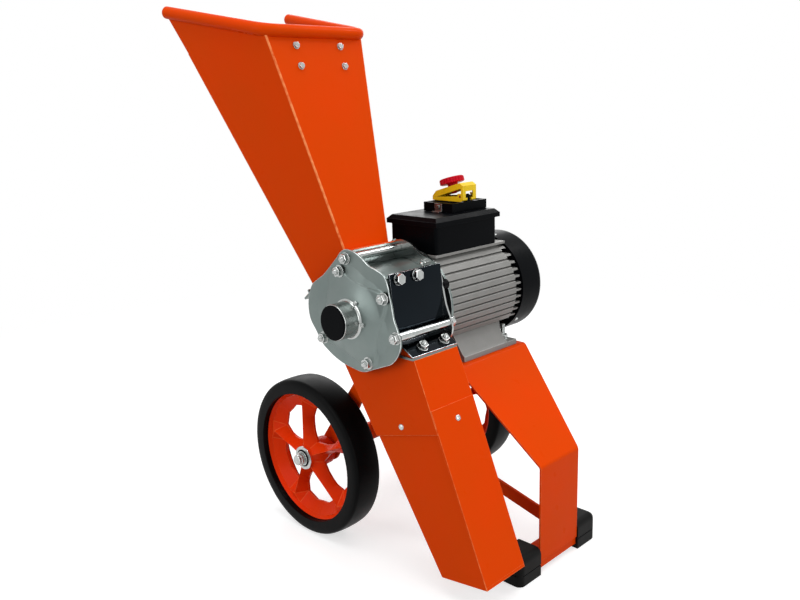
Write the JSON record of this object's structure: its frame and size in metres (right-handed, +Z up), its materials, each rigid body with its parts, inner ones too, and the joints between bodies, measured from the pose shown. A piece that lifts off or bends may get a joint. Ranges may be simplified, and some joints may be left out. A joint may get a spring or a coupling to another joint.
{
  "type": "electric garden shredder",
  "caption": "Electric wood chipper: flared feed hopper, motor-driven cutter drum and discharge chute on a two-wheeled steel stand with rubber feet and an emergency stop.",
  "frame": {"origin": "ground level under the middle of the wheel axle", "axes": "+Z up, +Y along the wheel axle and the motor shaft towards the motor's fan, +X from the axle towards the rubber feet and the chute outlet"},
  "size_m": [0.5496, 0.4694, 0.8166],
  "materials": {
    "orange_paint": "glossy red-orange powder coat",
    "orange_plastic": "satin red-orange moulding",
    "zinc_plate": "bright zinc plating, lightly brushed",
    "dark_zinc": "polished dark plating",
    "bright_steel": "turned steel and zinc plated fasteners",
    "cast_aluminium": "matt warm grey casting",
    "dark_casting": "dark painted casting",
    "black_plastic": "satin black moulding",
    "black_rubber": "moulded rubber",
    "tyre_rubber": "solid black rubber",
    "yellow_plastic": "satin yellow moulding",
    "red_plastic": "glossy red moulding",
    "green_plastic": "satin green moulding",
    "winding": "laminations with varnished copper winding heads"
  },
  "bodies": {
    "machine": {"axle": "bright_steel", "bearing_tube": "zinc_plate", "box_lid": "black_plastic", "cable_gland": "black_plastic", "capacitor_box": "black_plastic", "chute_lower": "orange_paint", "chute_upper": "orange_paint", "counter_knife": "bright_steel", "cutter_housing": "zinc_plate", "drive_bearing": "bright_steel", "end_plug": "black_plastic", "fan_cover": "black_plastic", "far_axle_nut": "bright_steel", "far_foot": "black_rubber", "flap_pin": "bright_steel", "front_bearing": "bright_steel", "front_cover": "zinc_plate", "hopper_clamp": "bright_steel", "hopper_far_wall": "orange_paint", "hopper_flap": "black_rubber", "hopper_front_wall": "orange_paint", "hopper_lip": "orange_paint", "hopper_near_wall": "orange_paint", "hopper_rear_wall": "orange_paint", "hopper_rim": "orange_paint", "lower_tie_stud": "bright_steel", "motor_bolt_1": "bright_steel", "motor_bolt_2": "bright_steel", "motor_bolt_3": "bright_steel", "motor_bolt_4": "bright_steel", "motor_end_shield": "dark_casting", "motor_front_foot": "cast_aluminium", "motor_housing": "cast_aluminium", "motor_rear_foot": "cast_aluminium", "motor_ring": "zinc_plate", "near_axle_nut": "bright_steel", "near_foot": "black_rubber", "rear_bearing": "bright_steel", "rear_plate": "zinc_plate", "rear_shield": "dark_casting", "run_capacitor": "zinc_plate", "side_plate": "dark_zinc", "stand_frame": "orange_paint", "stator": "winding", "switch_body": "black_plastic", "switch_clip": "zinc_plate", "upper_tie_stud": "bright_steel"},
    "near_wheel": {"near_wheel_centre": "orange_plastic", "near_tyre": "tyre_rubber"},
    "far_wheel": {"far_wheel_centre": "orange_plastic", "far_tyre": "tyre_rubber"},
    "rotor": {"rotor_shaft": "bright_steel", "cutter_rotor": "bright_steel", "knife_1": "bright_steel", "knife_2": "bright_steel", "cooling_fan": "black_plastic"},
    "flap": {"emergency_flap": "yellow_plastic"},
    "mushroom": {"stop_mushroom": "red_plastic"},
    "stop_push": {"stop_button": "red_plastic"},
    "start_push": {"start_button": "green_plastic"}
  },
  "joints": [
    {"name": "near_wheel_spin", "type": "hinge", "parent": "machine", "child": "near_wheel", "pos_m": [0, -0.168, 0.127], "axis": [0, 1, 0], "continuous": true},
    {"name": "far_wheel_spin", "type": "hinge", "parent": "machine", "child": "far_wheel", "pos_m": [0, 0.168, 0.127], "axis": [0, 1, 0], "continuous": true},
    {"name": "rotor_spin", "type": "hinge", "parent": "machine", "child": "rotor", "pos_m": [0.141, 0, 0.381], "axis": [0, 1, 0], "continuous": true},
    {"name": "flap_open", "type": "hinge", "parent": "machine", "child": "flap", "pos_m": [0.164, 0.018, 0.5289], "axis": [0, 1, 0], "range_deg": [0, 90]},
    {"name": "mushroom_press", "type": "slide", "parent": "flap", "child": "mushroom", "axis": [0.2855, 0, -0.9584], "range_m": [0, 0.004], "stiffness_N_per_m": 400, "springref_m": -0.003},
    {"name": "stop_press", "type": "slide", "parent": "machine", "child": "stop_push", "axis": [0, 0, -1], "range_m": [0, 0.003], "stiffness_N_per_m": 400, "springref_m": -0.002},
    {"name": "start_press", "type": "slide", "parent": "machine", "child": "start_push", "axis": [0, 0, -1], "range_m": [0, 0.003], "stiffness_N_per_m": 400, "springref_m": -0.002}
  ]
}
